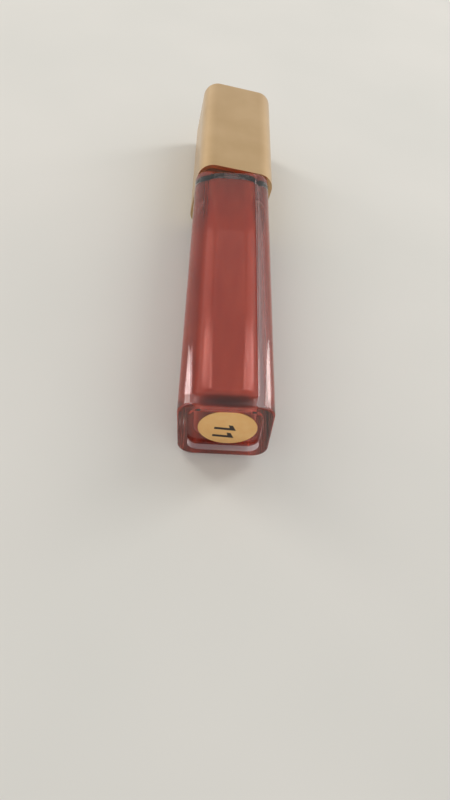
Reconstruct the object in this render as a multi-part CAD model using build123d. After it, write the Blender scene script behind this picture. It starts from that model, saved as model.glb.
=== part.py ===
from build123d import *
from math import cos, radians, sin
import os

# Lip gloss tube: clear square bottle, wiper, gloss, screw cap with wand.
# The tube is drawn standing on its base, axis on +Z, then laid down so that
# the cap points along +Y. All sizes are in millimetres.

# Bottle
BOTTLE_WIDTH = 17.6
BOTTLE_HEIGHT = 67.0
BOTTLE_CORNER = 3.2
BASE_EDGE = 0.5
SHOULDER_EDGE = 0.6
WALL = 2.95
CHAMBER_CORNER = 3.4
CHAMBER_FLOOR = 3.8
CHAMBER_FLOOR_EDGE = 1.2
SHOULDER_THICKNESS = 1.0
RECESS_WIDTH = 13.7
RECESS_CORNER = 2.2
RECESS_DEPTH = 1.2

# Neck and screw thread
NECK_RADIUS = 5.8
NECK_BORE = 4.3
NECK_HEIGHT = 10.0
LEAD = 3.0
THREAD_DEPTH = 0.8
THREAD_ROOT_WIDTH = 1.3
THREAD_CREST_WIDTH = 0.6
THREAD_SINK = 0.15
NECK_TURNS = 1.5
LINER_TURNS = 1.25
THREAD_START = 3.3
THREAD_CLEARANCE = 0.3

# Wiper
WIPER_FLANGE_INSET = 0.5
WIPER_FLANGE_THICKNESS = 0.6
WIPER_LENGTH = 9.5
WIPER_BORE = 3.3
LIP_THICKNESS = 1.0
LIP_TAPER = 2.0
WIPER_CLEARANCE = 0.2

# Sticker
STICKER_RADIUS = 5.6
STICKER_THICKNESS = 0.1
STICKER_X = 0.6
STICKER_UP = -0.3

# Cap
CAP_WIDTH = 18.4
CAP_LENGTH = 37.7
CAP_CORNER = 3.9
CAP_END_EDGE = 1.0
CAP_WALL = 0.9
CAP_END_THICKNESS = 1.2
CAP_GAP = 0.5
CAP_ANGLE = 8.8

# Liner inside the cap
LINER_INSET = 0.5
LINER_PLATE = 2.0
LINER_WALL = 1.3
LINER_CEILING = 2.0
SOCKET_RADIUS = 3.6
SOCKET_DEPTH = 6.6
SOCKET_END = 1.2
SOCKET_END_GAP = 0.3
RUNNING_CLEARANCE = 0.05
WASHER_THICKNESS = 0.8
WASHER_INSET = 0.2
WASHER_CLEARANCE = 0.3

# Wand
STEM_RADIUS = 2.0
TIP_STEP = 0.05
TIP_LENGTH = 12.0
TIP_END_RADIUS = 1.1
TIP_ABOVE_FLOOR = 2.2
PADDLE_THICKNESS = 1.5
PADDLE_LENGTH = 8.5
SPIGOT_RADIUS = 1.1
SPIGOT_LENGTH = 4.0
FILL_CLEARANCE = 0.7

# Sizes round the axis that follow from the ones above
WIPER_FLANGE = NECK_RADIUS - WIPER_FLANGE_INSET
LINER_BORE = NECK_RADIUS + THREAD_DEPTH + THREAD_CLEARANCE
LINER_BODY = LINER_BORE + LINER_WALL
WASHER_RADIUS = NECK_RADIUS - WASHER_INSET
TIP_RADIUS = STEM_RADIUS - TIP_STEP

# Places along the axis that several pieces share
NECK_TOP = BOTTLE_HEIGHT + NECK_HEIGHT
CHAMBER_TOP = BOTTLE_HEIGHT - SHOULDER_THICKNESS
WIPER_TOP = NECK_TOP + WIPER_FLANGE_THICKNESS
CEILING = WIPER_TOP + WASHER_THICKNESS
CAP_MOUTH = BOTTLE_HEIGHT + CAP_GAP
CAP_TOP = CAP_MOUTH + CAP_LENGTH
LINER_MOUTH = CAP_MOUTH + LINER_INSET
SOCKET_TOP = CEILING + LINER_CEILING + SOCKET_DEPTH
TIP_BOTTOM = CHAMBER_FLOOR + TIP_ABOVE_FLOOR
STEM_BOTTOM = TIP_BOTTOM + TIP_LENGTH
STEM_TOP = SOCKET_TOP - SOCKET_END_GAP


def column(width, corner, low, high, angle=0):
    """Upright rounded square column between two heights."""
    outline = Rot(0, 0, angle) * RectangleRounded(width, width, corner)
    return extrude(Pos(0, 0, low) * outline, high - low)


def rod(radius, low, high):
    """Upright round rod between two heights."""
    return extrude(Pos(0, 0, low) * Circle(radius), high - low)


def thread_ridge(root, crest, start, turns):
    """Right-hand screw ridge from the root radius to the crest radius."""
    path = Pos(0, 0, start) * Helix(LEAD, LEAD * turns, root)
    plane = Plane(origin=path @ 0, x_dir=(1, 0, 0), z_dir=path % 0)
    outward = 1 if crest > root else -1
    sunk = -outward * THREAD_SINK
    half_root = THREAD_ROOT_WIDTH / 2
    half_crest = THREAD_CREST_WIDTH / 2
    outline = Polyline(
        (sunk, -half_root),
        (crest - root, -half_crest),
        (crest - root, half_crest),
        (sunk, half_root),
        close=True,
    )
    return sweep(plane * make_face(outline), path=path, is_frenet=True)


def make_chamber():
    """The hollow that the gloss fills, up to the underside of the shoulder."""
    width = BOTTLE_WIDTH - 2 * WALL
    hollow = column(width, CHAMBER_CORNER, CHAMBER_FLOOR, CHAMBER_TOP)
    floor_edges = hollow.faces().sort_by(Axis.Z)[0].edges()
    return fillet(floor_edges, CHAMBER_FLOOR_EDGE)


def make_bottle():
    """Thick clear body with its gloss chamber, base recess and threaded neck."""
    body = column(BOTTLE_WIDTH, BOTTLE_CORNER, 0, BOTTLE_HEIGHT)
    body = fillet(body.faces().sort_by(Axis.Z)[0].edges(), BASE_EDGE)
    body = fillet(body.faces().sort_by(Axis.Z)[-1].edges(), SHOULDER_EDGE)
    body += rod(NECK_RADIUS, BOTTLE_HEIGHT, NECK_TOP)
    body -= make_chamber()
    body -= rod(NECK_BORE, CHAMBER_TOP - 1, NECK_TOP)
    body -= column(RECESS_WIDTH, RECESS_CORNER, 0, RECESS_DEPTH)
    crest = NECK_RADIUS + THREAD_DEPTH
    body += thread_ridge(NECK_RADIUS, crest, BOTTLE_HEIGHT + THREAD_START, NECK_TURNS)
    return body


def make_gloss():
    """Gloss that fills the chamber, with the wand's way down its middle."""
    way = rod(STEM_RADIUS + FILL_CLEARANCE, TIP_BOTTOM - FILL_CLEARANCE, CHAMBER_TOP)
    return make_chamber() - way


def make_wiper():
    """Soft plug in the neck, with a flange on the lip and a narrow mouth below."""
    low = NECK_TOP - WIPER_LENGTH
    mouth = STEM_RADIUS + WIPER_CLEARANCE
    outline = Polyline(
        (mouth, low),
        (NECK_BORE, low),
        (NECK_BORE, NECK_TOP),
        (WIPER_FLANGE, NECK_TOP),
        (WIPER_FLANGE, WIPER_TOP),
        (WIPER_BORE, WIPER_TOP),
        (WIPER_BORE, low + LIP_THICKNESS + LIP_TAPER),
        (mouth, low + LIP_THICKNESS),
        close=True,
    )
    section = Plane.XZ * make_face(outline)
    return revolve(section, Axis.Z)


def make_sticker():
    """Round sticker on the floor of the base recess."""
    disc = rod(STICKER_RADIUS, RECESS_DEPTH - STICKER_THICKNESS, RECESS_DEPTH)
    return Pos(STICKER_X, -STICKER_UP, 0) * disc


def make_outer_cap():
    """Metallised shell, open towards the bottle."""
    shell = column(CAP_WIDTH, CAP_CORNER, CAP_MOUTH, CAP_TOP, CAP_ANGLE)
    shell = fillet(shell.faces().sort_by(Axis.Z)[-1].edges(), CAP_END_EDGE)
    inside = CAP_WIDTH - 2 * CAP_WALL
    return shell - column(
        inside, CAP_CORNER - CAP_WALL, CAP_MOUTH, CAP_TOP - CAP_END_THICKNESS, CAP_ANGLE
    )


def make_inner_cap():
    """Liner with the female thread, the ceiling and the wand's socket."""
    inside = CAP_WIDTH - 2 * CAP_WALL
    liner = column(
        inside, CAP_CORNER - CAP_WALL, LINER_MOUTH, LINER_MOUTH + LINER_PLATE, CAP_ANGLE
    )
    liner += rod(LINER_BODY, LINER_MOUTH, CEILING + LINER_CEILING)
    liner += rod(SOCKET_RADIUS, CEILING, SOCKET_TOP + SOCKET_END)
    liner -= rod(LINER_BORE, LINER_MOUTH, CEILING)
    liner -= rod(STEM_RADIUS + RUNNING_CLEARANCE, CEILING, SOCKET_TOP)
    start = BOTTLE_HEIGHT + THREAD_START - LEAD / 2
    liner += thread_ridge(LINER_BORE, NECK_RADIUS + THREAD_CLEARANCE, start, LINER_TURNS)
    return liner


def make_washer():
    """Soft sealing ring between the wiper's flange and the liner's ceiling."""
    ring = rod(WASHER_RADIUS, WIPER_TOP, CEILING)
    return ring - rod(STEM_RADIUS + WASHER_CLEARANCE, WIPER_TOP, CEILING)


def make_stem():
    """Round rod from the liner's socket down to the applicator."""
    stem = rod(STEM_RADIUS, STEM_BOTTOM, STEM_TOP)
    hole = SPIGOT_RADIUS + RUNNING_CLEARANCE
    return stem - rod(hole, STEM_BOTTOM, STEM_BOTTOM + SPIGOT_LENGTH + SOCKET_END_GAP)


def make_applicator():
    """Flocked tip, flattened on one side, with a spigot up into the stem."""
    shoulder = STEM_BOTTOM - RUNNING_CLEARANCE
    low = TIP_BOTTOM + TIP_END_RADIUS
    outline = Polyline(
        (0, low),
        (TIP_END_RADIUS, low),
        (TIP_RADIUS, TIP_BOTTOM + TIP_LENGTH / 2),
        (TIP_RADIUS, shoulder),
        (SPIGOT_RADIUS, shoulder),
        (SPIGOT_RADIUS, shoulder + SPIGOT_LENGTH),
        (0, shoulder + SPIGOT_LENGTH),
        close=True,
    )
    tip = revolve(Plane.XZ * make_face(outline), Axis.Z)
    tip += Pos(0, 0, low) * Sphere(TIP_END_RADIUS)
    slope = Polyline(
        (PADDLE_THICKNESS / 2 - TIP_END_RADIUS / 2, TIP_BOTTOM - 1),
        (TIP_RADIUS + 1, TIP_BOTTOM + PADDLE_LENGTH),
        (TIP_RADIUS + 1, TIP_BOTTOM - 1),
        close=True,
    )
    cut = extrude(Plane.XZ * make_face(slope), TIP_RADIUS + 1, both=True)
    return tip - cut


def reach(width, corner, angle):
    """Height of a rounded square's centre above the table when it is rolled by an angle."""
    half = width / 2 - corner
    return half * (cos(radians(angle)) + sin(radians(angle))) + corner


def rest_roll():
    """Roll at which the bottle and the turned cap both touch the table."""
    low, high = 0.0, CAP_ANGLE
    for _ in range(40):
        middle = (low + high) / 2
        bottle = reach(BOTTLE_WIDTH, BOTTLE_CORNER, middle)
        cap = reach(CAP_WIDTH, CAP_CORNER, CAP_ANGLE - middle)
        if bottle < cap:
            low = middle
        else:
            high = middle
    return middle


def main():
    """Build every piece, lay the tube on its side and write one file for each piece."""
    roll = rest_roll()
    axis_height = reach(BOTTLE_WIDTH, BOTTLE_CORNER, roll)
    place = Pos(0, -CAP_TOP / 2, axis_height) * Rot(-90, 0, 0) * Rot(0, 0, -roll)
    pieces = {
        "bottle": make_bottle(),
        "gloss_fill": make_gloss(),
        "wiper": make_wiper(),
        "shade_sticker": make_sticker(),
        "outer_cap": make_outer_cap(),
        "inner_cap": make_inner_cap(),
        "seal_washer": make_washer(),
        "wand_stem": make_stem(),
        "applicator": make_applicator(),
    }
    os.makedirs("parts", exist_ok=True)
    for name, piece in pieces.items():
        export_step(place * piece, f"parts/{name}.step")
    print(f"roll {roll:.3f} deg, axis height {axis_height:.3f} mm, length {CAP_TOP:.1f} mm")


main()
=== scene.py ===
import math

import bmesh
import bpy
from mathutils import Matrix, Vector


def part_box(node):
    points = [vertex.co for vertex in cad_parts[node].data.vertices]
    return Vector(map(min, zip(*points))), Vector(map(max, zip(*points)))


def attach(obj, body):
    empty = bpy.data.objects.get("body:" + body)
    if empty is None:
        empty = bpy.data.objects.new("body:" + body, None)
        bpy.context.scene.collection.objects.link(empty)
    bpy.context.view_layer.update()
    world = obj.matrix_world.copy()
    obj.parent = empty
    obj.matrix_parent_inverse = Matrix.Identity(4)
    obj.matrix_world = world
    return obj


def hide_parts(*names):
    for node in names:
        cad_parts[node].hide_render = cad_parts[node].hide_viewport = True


MM = 0.001

# How the tube lies: the bottle is rolled about its axis on to a corner line.
ROLL = math.radians(6.56)

# Gloss chamber, in millimetres from the base face, as the bottle is made.
CHAMBER_WIDTH = 11.7
CHAMBER_CORNER = 3.4
CHAMBER_LOW = 3.8
CHAMBER_HIGH = 66.0
CHAMBER_FLOOR_EDGE = 1.2
WETTING = 0.02

# The plain shade number on the base sticker: one digit's outline, along and across, in mm.
DIGIT_ONE = [(0, 0), (4.17, 0), (3.35, 1.68), (2.59, 1.73), (2.85, 0.76), (0, 0.72)]
DIGIT_PLACES = [(-2.53, -0.43), (-2.80, -3.10)]
DIGIT_TURN = math.radians(-5.0)
INK_THICKNESS = 0.015

# Flocking on the applicator, in millimetres.
FIBRE_LENGTH = 0.2
FIBRE_RADIUS = 0.035
FIBRES_PER_SQUARE_MM = 7.0

# Camera, in the bottle's own axes: X across, Y along, Z up, from the middle of the base face.
CAMERA_PLACE = (-4.24, -55.16, 92.21)
CAMERA_PITCH = math.radians(55.85)
CAMERA_YAW = math.radians(-3.858)
CAMERA_ROLL = math.radians(6.128)
CAMERA_LENS = 26.0
SENSOR_WIDTH = 36.0
NEAREST = 0.005

# Table top, half its side in metres.
TABLE_REACH = 3.0

# Closest two corners of a skin may be, in millimetres, before they are one.
MERGE = 0.001

# Steps in a quarter turn of a rounded corner, and of the chamber floor's edge.
CORNER_STEPS = 10
FLOOR_EDGE_STEPS = 8


# ---------------------------------------------------------------- helpers

def linear(colour):
    """A hex sRGB colour as linear RGBA."""
    def channel(value):
        value = value / 255
        return value / 12.92 if value <= 0.04045 else ((value + 0.055) / 1.055) ** 2.4
    red, green, blue = (int(colour[i:i + 2], 16) for i in (1, 3, 5))
    return (channel(red), channel(green), channel(blue), 1.0)


def add(tree, kind, values=None, links=None, **settings):
    """One node with its settings, its input values and its incoming links."""
    node = tree.nodes.new(kind)
    for name, value in settings.items():
        setattr(node, name, value)
    for name, value in (values or {}).items():
        node.inputs[name].default_value = value
    for name, source in (links or {}).items():
        tree.links.new(source, node.inputs[name])
    return node


def new_material(name, values):
    """A material with one Principled shader. Returns the material, its tree and the shader."""
    material = bpy.data.materials.new(name)
    material.use_nodes = True
    tree = material.node_tree
    tree.nodes.clear()
    shader = add(tree, "ShaderNodeBsdfPrincipled", values)
    add(tree, "ShaderNodeOutputMaterial", links={"Surface": shader.outputs["BSDF"]})
    return material, tree, shader


def place_in(tree, stretch=(1, 1, 1)):
    """Object coordinates in metres, stretched where a grain runs one way."""
    coordinates = add(tree, "ShaderNodeTexCoord")
    links = {"Vector": coordinates.outputs["Object"]}
    mapping = add(tree, "ShaderNodeMapping", {"Scale": stretch}, links)
    return mapping.outputs["Vector"]


def noise(tree, where, size_mm, detail=2.0):
    """Noise whose grains are about size_mm across."""
    values = {"Scale": 1 / (size_mm * MM), "Detail": detail, "Roughness": 0.55}
    return add(tree, "ShaderNodeTexNoise", values, {"Vector": where}).outputs["Fac"]


def between(tree, factor, low, high):
    """Maps a 0 to 1 pattern on to a range of numbers."""
    values = {"To Min": low, "To Max": high}
    return add(tree, "ShaderNodeMapRange", values, {"Value": factor}).outputs["Result"]


def tint(tree, factor, first, second, start=0.3, stop=0.7):
    """Maps a 0 to 1 pattern on to a blend of two colours."""
    ramp = add(tree, "ShaderNodeValToRGB", links={"Fac": factor})
    ramp.color_ramp.elements[0].position = start
    ramp.color_ramp.elements[0].color = linear(first)
    ramp.color_ramp.elements[1].position = stop
    ramp.color_ramp.elements[1].color = linear(second)
    return ramp.outputs["Color"]


def bump(tree, shader, height, depth_mm, strength=0.3):
    """Fine relief on a shader, depth_mm deep."""
    values = {"Strength": strength, "Distance": depth_mm * MM}
    node = add(tree, "ShaderNodeBump", values, {"Height": height})
    tree.links.new(node.outputs["Normal"], shader.inputs["Normal"])


# ---------------------------------------------------------------- materials

def clear_petg():
    """Clear moulded PETG, polished: thick, bright, with the faintest moulding ripple. Its faint pink
    tint is painted light: red-tinted light from the gloss, seen through the plastic.
    """
    material, tree, shader = new_material("clear_petg", {
        "Base Color": linear("#F8E6EC"), "Roughness": 0.02, "IOR": 1.57, "Transmission Weight": 1.0,
    })
    ripple = noise(tree, place_in(tree, (1, 0.15, 1)), 6.0, 1.0)
    bump(tree, shader, ripple, 0.02, 0.08)
    return material


def lip_gloss():
    """Pigmented gloss, an oil gel with fine pearl: glossy, deep, slightly uneven in colour."""
    material, tree, shader = new_material("pigmented_gloss", {
        "Roughness": 0.14, "IOR": 1.48, "Specular IOR Level": 0.7, "Specular Tint": linear("#FFA48C"),
        "Subsurface Weight": 0.15, "Subsurface Radius": (1.0, 0.35, 0.25), "Subsurface Scale": 0.8 * MM,
        "Coat Weight": 0.35, "Coat Roughness": 0.1, "Coat Tint": linear("#FFE3DA"),
    })
    drift = noise(tree, place_in(tree, (1, 0.25, 1)), 5.0, 2.0)
    colour = tint(tree, drift, "#BA4128", "#CC5436")
    tree.links.new(colour, shader.inputs["Base Color"])
    pearl = noise(tree, place_in(tree), 0.35, 1.0)
    bump(tree, shader, pearl, 0.01, 0.06)
    return material


def metallised_abs():
    """ABS moulding vacuum metallised in pale gold: satin, with a soft orange-peel lacquer."""
    material, tree, shader = new_material("metallised_abs", {
        "Metallic": 1.0, "Coat Weight": 0.25, "Coat Roughness": 0.18,
    })
    where = place_in(tree)
    cloud = noise(tree, where, 9.0, 2.0)
    colour = tint(tree, cloud, "#CFAE80", "#D8B88B")
    tree.links.new(colour, shader.inputs["Base Color"])
    handled = noise(tree, where, 3.0, 3.0)
    tree.links.new(between(tree, handled, 0.27, 0.36), shader.inputs["Roughness"])
    bump(tree, shader, noise(tree, where, 0.5, 2.0), 0.012, 0.12)
    return material


def foil_paper():
    """Self-adhesive foil paper, matt gold: satin print with a fine paper tooth."""
    material, tree, shader = new_material("gold_foil_paper", {
        "Metallic": 0.35, "Roughness": 0.42,
    })
    where = place_in(tree)
    colour = tint(tree, noise(tree, where, 1.6, 3.0), "#F0BC78", "#F4C684")
    tree.links.new(colour, shader.inputs["Base Color"])
    bump(tree, shader, noise(tree, where, 0.12, 3.0), 0.01, 0.25)
    return material


def printed_ink():
    """Thermal-printed black ink: thin, slightly shiny, a little uneven."""
    material, tree, shader = new_material("printed_ink", {"Roughness": 0.35})
    colour = tint(tree, noise(tree, place_in(tree), 0.2, 2.0), "#150C05", "#2A1A0C")
    tree.links.new(colour, shader.inputs["Base Color"])
    return material


def plain_plastic(name, first, second, roughness, clouding=0.0):
    """Moulded plastic with a fine mould texture; clouding lets light into a milky one."""
    material, tree, shader = new_material(name, {
        "IOR": 1.49, "Subsurface Weight": clouding,
        "Subsurface Radius": (1.0, 0.9, 0.8), "Subsurface Scale": 1.0 * MM,
    })
    where = place_in(tree)
    tree.links.new(tint(tree, noise(tree, where, 2.0, 2.0), first, second), shader.inputs["Base Color"])
    spread = between(tree, noise(tree, where, 0.8, 2.0), roughness - 0.05, roughness + 0.05)
    tree.links.new(spread, shader.inputs["Roughness"])
    bump(tree, shader, noise(tree, where, 0.25, 2.0), 0.01, 0.15)
    return material


def flock():
    """Nylon flock soaked in gloss: deep colour, soft sheen on the fibre tips."""
    material, tree, shader = new_material("nylon_flock", {
        "Roughness": 0.55, "Sheen Weight": 0.4, "Sheen Roughness": 0.4, "Coat Weight": 0.3,
        "Coat Roughness": 0.25,
    })
    colour = tint(tree, noise(tree, place_in(tree), 0.4, 2.0), "#8F3D33", "#B86055")
    tree.links.new(colour, shader.inputs["Base Color"])
    bump(tree, shader, noise(tree, place_in(tree), 0.1, 2.0), 0.03, 0.5)
    return material


def floor_paint():
    """Matt pale laminate of the table top."""
    material, tree, shader = new_material("pale_laminate", {"Roughness": 0.8, "Specular IOR Level": 0.1})
    colour = tint(tree, noise(tree, place_in(tree), 60.0, 2.0), "#D9D9D5", "#DEDDD9")
    tree.links.new(colour, shader.inputs["Base Color"])
    return material


# ---------------------------------------------------------------- pieces

def tube_frame():
    """From the bottle's own axes, in metres from the base face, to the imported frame."""
    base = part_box("bottle")[0][1]
    cap_low, cap_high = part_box("outer_cap")
    axis_height = (cap_low[2] + cap_high[2]) / 2
    return Matrix.Translation((0, base, axis_height)) @ Matrix.Rotation(-ROLL, 4, "Y")


def rounded_ring(width, corner, along, steps=CORNER_STEPS):
    """Points of a rounded square round the tube's axis, at one distance along it."""
    half = width / 2 - corner
    points = []
    for quarter in range(4):
        centre = math.pi / 4 + quarter * math.pi / 2
        cx = math.copysign(half, math.cos(centre))
        cz = math.copysign(half, math.sin(centre))
        for step in range(steps + 1):
            angle = quarter * math.pi / 2 + step * math.pi / 2 / steps
            points.append((cx + corner * math.cos(angle), along, cz + corner * math.sin(angle)))
    return points


def lofted(name, rings, material, tube):
    """A closed skin through rings of equal length, capped at both ends with a fan."""
    mesh = bpy.data.meshes.new(name)
    build = bmesh.new()
    rows = [[build.verts.new(Vector(point) * MM) for point in ring] for ring in rings]
    for first, second in zip(rows, rows[1:]):
        for i in range(len(first)):
            j = (i + 1) % len(first)
            build.faces.new((first[i], first[j], second[j], second[i]))
    for row in (rows[0], rows[-1]):
        middle = build.verts.new(sum((v.co for v in row), Vector()) / len(row))
        for i in range(len(row)):
            build.faces.new((row[i], row[(i + 1) % len(row)], middle))
    bmesh.ops.remove_doubles(build, verts=build.verts, dist=MERGE * MM)
    bmesh.ops.recalc_face_normals(build, faces=build.faces)
    build.to_mesh(mesh)
    build.free()
    mesh.transform(tube)
    mesh.materials.append(material)
    mesh.shade_smooth()
    piece = bpy.data.objects.new(name, mesh)
    bpy.context.collection.objects.link(piece)
    return piece


def make_gloss(tube, material):
    """The gloss wets the chamber wall, so its skin is let into the clear plastic by WETTING."""
    width = CHAMBER_WIDTH + 2 * WETTING
    rings = []
    for step in range(FLOOR_EDGE_STEPS + 1):
        angle = step * math.pi / 2 / FLOOR_EDGE_STEPS
        inset = CHAMBER_FLOOR_EDGE * (1 - math.sin(angle))
        along = CHAMBER_LOW - WETTING + CHAMBER_FLOOR_EDGE * (1 - math.cos(angle))
        rings.append(rounded_ring(width - 2 * inset, CHAMBER_CORNER - inset, along))
    third = (CHAMBER_HIGH - CHAMBER_LOW) / 3
    for along in (CHAMBER_LOW + third, CHAMBER_HIGH - third, CHAMBER_HIGH):
        rings.append(rounded_ring(width, CHAMBER_CORNER, along))
    piece = lofted("gloss", rings, material, tube)
    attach(piece, "bottle_body")
    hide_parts("gloss_fill")
    return piece


def make_number(material):
    """The plain number printed on the sticker, one thin raised shape for each digit."""
    low, high = (Vector(corner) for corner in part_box("shade_sticker"))
    centre = (low + high) / 2
    face = Matrix.Translation((centre.x, low.y, centre.z)) @ Matrix.Rotation(-ROLL, 4, "Y")
    mesh = bpy.data.meshes.new("shade_number")
    build = bmesh.new()
    for place in DIGIT_PLACES:
        corners = []
        for along, across in DIGIT_ONE:
            x = place[0] + along * math.cos(DIGIT_TURN) - across * math.sin(DIGIT_TURN)
            z = place[1] + along * math.sin(DIGIT_TURN) + across * math.cos(DIGIT_TURN)
            corners.append(build.verts.new(Vector((x, 0, z)) * MM))
        sheet = build.faces.new(corners)
        raised = bmesh.ops.extrude_face_region(build, geom=[sheet])["geom"]
        lifted = [item for item in raised if isinstance(item, bmesh.types.BMVert)]
        bmesh.ops.translate(build, verts=lifted, vec=(0, -INK_THICKNESS * MM, 0))
    bmesh.ops.triangulate(build, faces=build.faces)
    bmesh.ops.recalc_face_normals(build, faces=build.faces)
    build.to_mesh(mesh)
    build.free()
    mesh.transform(face)
    mesh.materials.append(material)
    piece = bpy.data.objects.new("shade_number", mesh)
    bpy.context.collection.objects.link(piece)
    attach(piece, "bottle_body")
    return piece


def fibre_tree(material):
    """Geometry Nodes that stand short tapered fibres on a surface, all over it."""
    tree = bpy.data.node_groups.new("flock_fibres", "GeometryNodeTree")
    face = tree.interface
    face.new_socket("Geometry", in_out="INPUT", socket_type="NodeSocketGeometry")
    sockets = {}
    for name, value in (
        ("Density", FIBRES_PER_SQUARE_MM / MM ** 2),
        ("Length", FIBRE_LENGTH * MM),
        ("Radius", FIBRE_RADIUS * MM),
    ):
        sockets[name] = face.new_socket(name, in_out="INPUT", socket_type="NodeSocketFloat")
        sockets[name].default_value = value
    face.new_socket("Geometry", in_out="OUTPUT", socket_type="NodeSocketGeometry")
    inputs = add(tree, "NodeGroupInput")
    scatter = add(tree, "GeometryNodeDistributePointsOnFaces", {"Seed": 7}, {
        "Mesh": inputs.outputs["Geometry"], "Density": inputs.outputs["Density"],
    })
    fibre = add(tree, "GeometryNodeMeshCone", {"Vertices": 5, "Radius Top": 0.01 * MM}, {
        "Radius Bottom": inputs.outputs["Radius"], "Depth": inputs.outputs["Length"],
    })
    stand = add(tree, "GeometryNodeInstanceOnPoints", links={
        "Points": scatter.outputs["Points"], "Instance": fibre.outputs["Mesh"],
        "Rotation": scatter.outputs["Rotation"],
    })
    real = add(tree, "GeometryNodeRealizeInstances", links={"Geometry": stand.outputs["Instances"]})
    finish = add(tree, "GeometryNodeSetMaterial", {"Material": material}, {
        "Geometry": real.outputs["Geometry"],
    })
    add(tree, "NodeGroupOutput", links={"Geometry": finish.outputs["Geometry"]})
    return tree


def make_fibres(frame, material):
    """Short fibres standing on the applicator's tip, below the stem."""
    stem_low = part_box("wand_stem")[0][1]
    skin = frame["nodes"]["applicator"].data.copy()
    build = bmesh.new()
    build.from_mesh(skin)
    bmesh.ops.remove_doubles(build, verts=build.verts, dist=MERGE * MM)
    hidden = [v for v in build.verts if v.co.y > stem_low - 0.2 * MM]
    bmesh.ops.delete(build, geom=hidden, context="VERTS")
    build.to_mesh(skin)
    build.free()
    scratch = bpy.data.objects.new("flock_base", skin)
    bpy.context.collection.objects.link(scratch)
    modifier = scratch.modifiers.new("flock", "NODES")
    modifier.node_group = fibre_tree(material)
    evaluated = scratch.evaluated_get(bpy.context.evaluated_depsgraph_get())
    mesh = bpy.data.meshes.new_from_object(evaluated)
    mesh.name = "flock_fibres"
    bpy.data.objects.remove(scratch)
    piece = bpy.data.objects.new("flock_fibres", mesh)
    bpy.context.collection.objects.link(piece)
    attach(piece, "cap_body")
    return piece


def finish_node(frame, node, material):
    """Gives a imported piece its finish."""
    for place in frame["nodes"][node].material_slots:
        place.material = material


# ---------------------------------------------------------------- stage

def make_floor():
    """A wide pale table top under the tube."""
    mesh = bpy.data.meshes.new("table_top")
    corners = [(x * TABLE_REACH, y * TABLE_REACH, 0) for x, y in ((-1, -1), (1, -1), (1, 1), (-1, 1))]
    mesh.from_pydata(corners, [], [(0, 1, 2, 3)])
    mesh.materials.append(floor_paint())
    floor = bpy.data.objects.new("table_top", mesh)
    bpy.context.collection.objects.link(floor)


def make_lamp(name, place, size, power, colour):
    """A large soft lamp that faces the tube."""
    data = bpy.data.lights.new(name, "AREA")
    data.shape = "RECTANGLE"
    data.size, data.size_y = size
    data.energy = power
    data.color = linear(colour)[:3]
    lamp = bpy.data.objects.new(name, data)
    lamp.location = place
    lamp.rotation_euler = (-Vector(place)).to_track_quat("-Z", "Y").to_euler()
    bpy.context.collection.objects.link(lamp)


def make_world():
    """A pale room, brighter near the horizon than overhead."""
    world = bpy.data.worlds.new("room")
    bpy.context.scene.world = world
    world.use_nodes = True
    tree = world.node_tree
    tree.nodes.clear()
    coordinates = add(tree, "ShaderNodeTexCoord")
    height = add(tree, "ShaderNodeSeparateXYZ", links={"Vector": coordinates.outputs["Generated"]})
    room = tint(tree, height.outputs["Z"], "#EEEBE6", "#CBC9C6", 0.1, 0.75)
    sky = add(tree, "ShaderNodeBackground", {"Strength": 1.0}, {"Color": room})
    add(tree, "ShaderNodeOutputWorld", links={"Surface": sky.outputs["Background"]})


def make_camera(tube):
    """A camera held over the base end, looking down along the tube."""
    turn = Matrix.Rotation(CAMERA_YAW, 3, "Z")
    ahead = turn @ Vector((0, math.cos(CAMERA_PITCH), -math.sin(CAMERA_PITCH)))
    right = turn @ Vector((1, 0, 0))
    up = right.cross(ahead)
    side = math.cos(CAMERA_ROLL) * right + math.sin(CAMERA_ROLL) * up
    top = -math.sin(CAMERA_ROLL) * right + math.cos(CAMERA_ROLL) * up
    pose = Matrix((side, top, -ahead)).transposed().to_4x4()
    pose.translation = Vector(CAMERA_PLACE) * MM
    data = bpy.data.cameras.new("camera")
    data.lens = CAMERA_LENS
    data.sensor_width = SENSOR_WIDTH
    data.clip_start = NEAREST
    camera = bpy.data.objects.new("camera", data)
    camera.matrix_world = tube @ pose
    bpy.context.collection.objects.link(camera)
    bpy.context.scene.camera = camera


# ---------------------------------------------------------------- scene

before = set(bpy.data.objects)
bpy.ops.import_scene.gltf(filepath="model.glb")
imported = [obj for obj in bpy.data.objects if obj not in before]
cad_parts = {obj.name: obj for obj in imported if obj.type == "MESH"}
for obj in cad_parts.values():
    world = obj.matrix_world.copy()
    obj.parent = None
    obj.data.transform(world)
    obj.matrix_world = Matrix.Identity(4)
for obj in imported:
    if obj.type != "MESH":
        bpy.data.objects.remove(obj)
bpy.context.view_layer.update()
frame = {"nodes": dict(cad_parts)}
tube = tube_frame()

flocking = flock()
finishes = {
    "bottle": clear_petg(),
    "wiper": plain_plastic("ldpe_milky", "#E6E3DC", "#EFECE6", 0.35, 0.4),
    "shade_sticker": foil_paper(),
    "outer_cap": metallised_abs(),
    # The liner's dark brown is painted shade: it stands in for the shade on the inner cap's end face.
    "inner_cap": plain_plastic("pp_liner", "#7A5F4A", "#866A54", 0.4),
    "seal_washer": plain_plastic("eva_foam", "#E2DFD8", "#ECE9E3", 0.75),
    "wand_stem": plain_plastic("pp_stem", "#E4DFD8", "#ECE8E2", 0.25, 0.3),
    "applicator": flocking,
}
for node, material in finishes.items():
    finish_node(frame, node, material)

make_gloss(tube, lip_gloss())
make_number(printed_ink())
make_fibres(frame, flocking)

make_floor()
make_world()
make_lamp("window_left", (-0.40, 0.24, 0.38), (0.14, 0.7), 1.15, "#FFF9F1")
make_lamp("window_right", (0.42, 0.26, 0.36), (0.14, 0.7), 1.25, "#FFFDFA")
make_camera(tube)
bpy.context.scene.view_settings.view_transform = "Standard"
